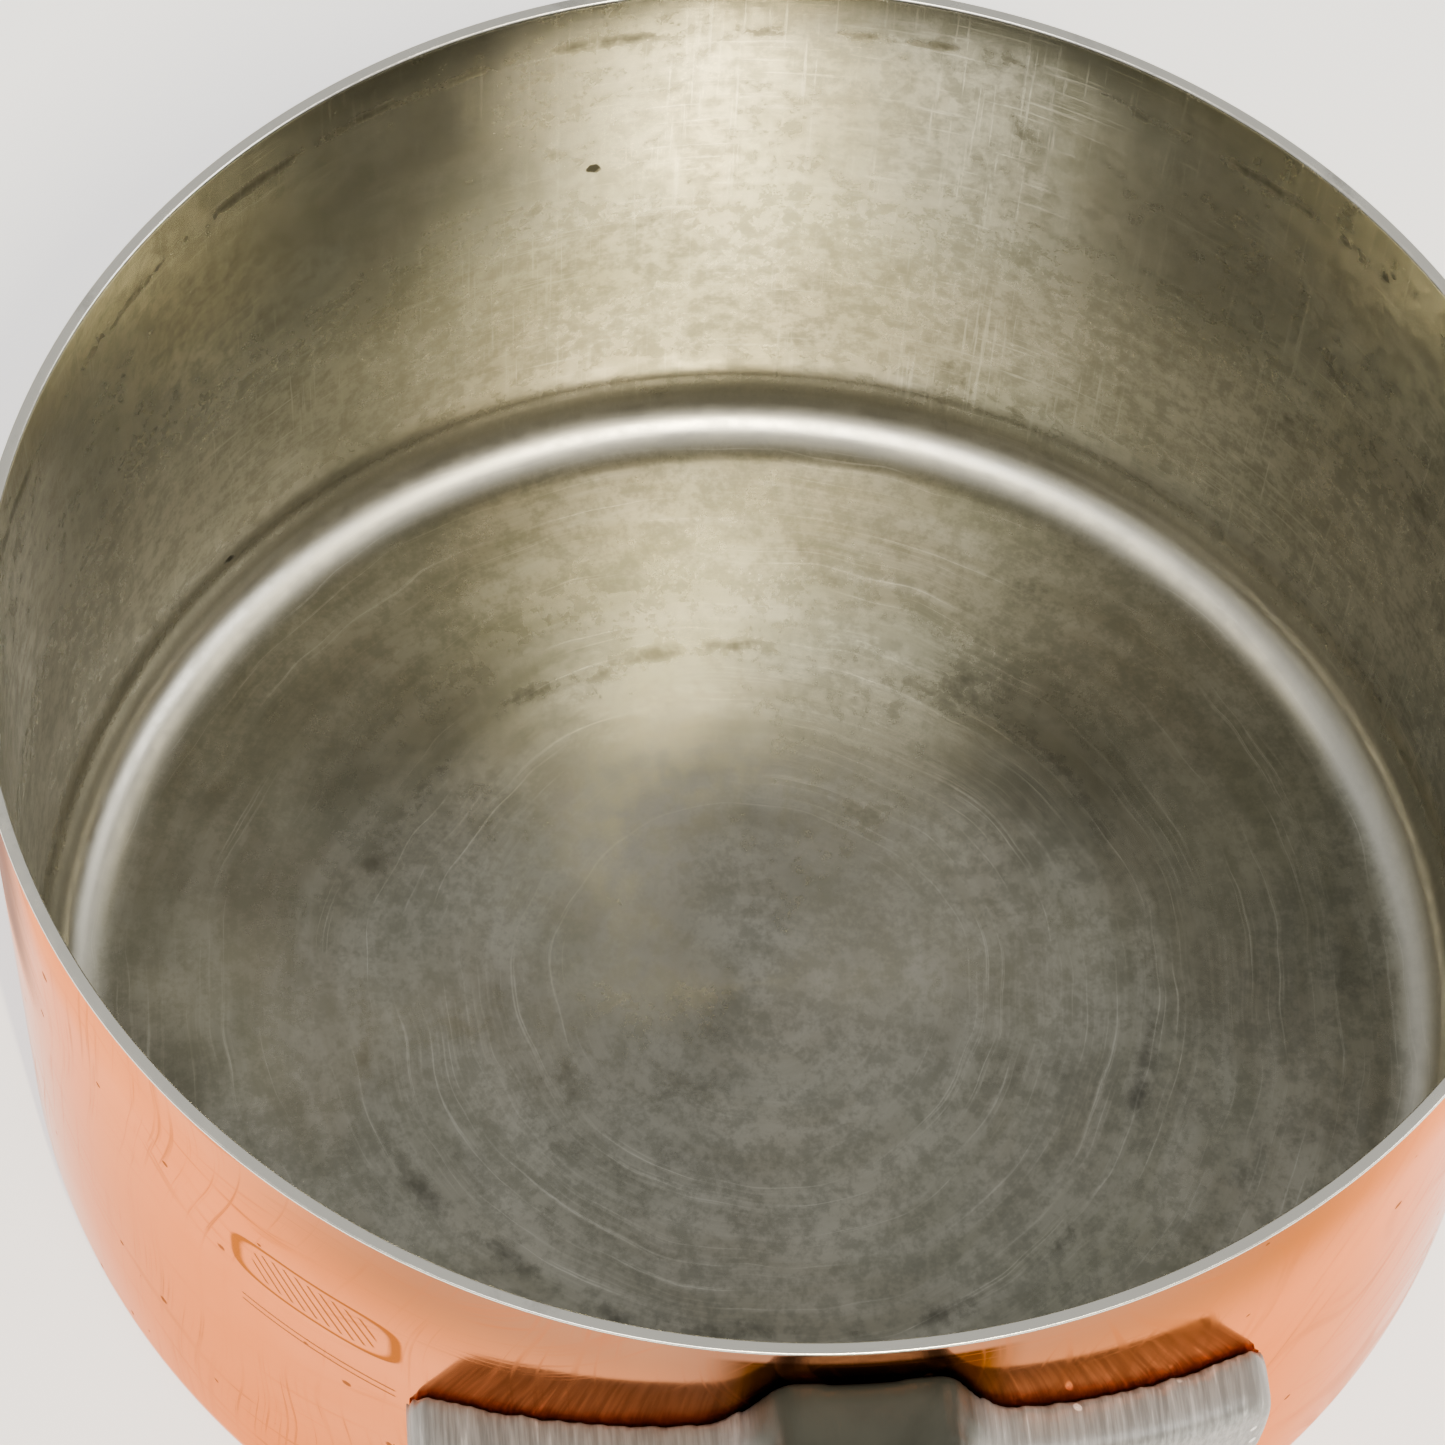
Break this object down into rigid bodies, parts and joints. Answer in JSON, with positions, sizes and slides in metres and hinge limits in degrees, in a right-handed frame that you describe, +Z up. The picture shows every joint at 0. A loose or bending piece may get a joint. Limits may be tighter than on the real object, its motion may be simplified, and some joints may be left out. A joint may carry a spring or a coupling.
{
  "type": "saucepan",
  "caption": "Copper saucepan with a wiped tin lining and a riveted cast-iron handle that ends in a hanging eye.",
  "frame": {"origin": "centre of the flat base's underside, on the surface that the pan stands on", "axes": "+Z up through the open mouth, +X along the handle, away from the pan"},
  "size_m": [0.3779, 0.18, 0.1507],
  "materials": {
    "copper": "copper, polished, worn with fine hairlines",
    "tin": "wiped tin, dull, with wiping marks",
    "cast_iron": "cast iron, ground and burnished",
    "rivet_copper": "copper, hammered"
  },
  "bodies": {
    "root": {"pan_body": "copper", "tin_lining": "tin", "handle": "cast_iron", "rivet_left": "rivet_copper", "rivet_right": "rivet_copper", "rivet_lower": "rivet_copper"}
  },
  "joints": []
}
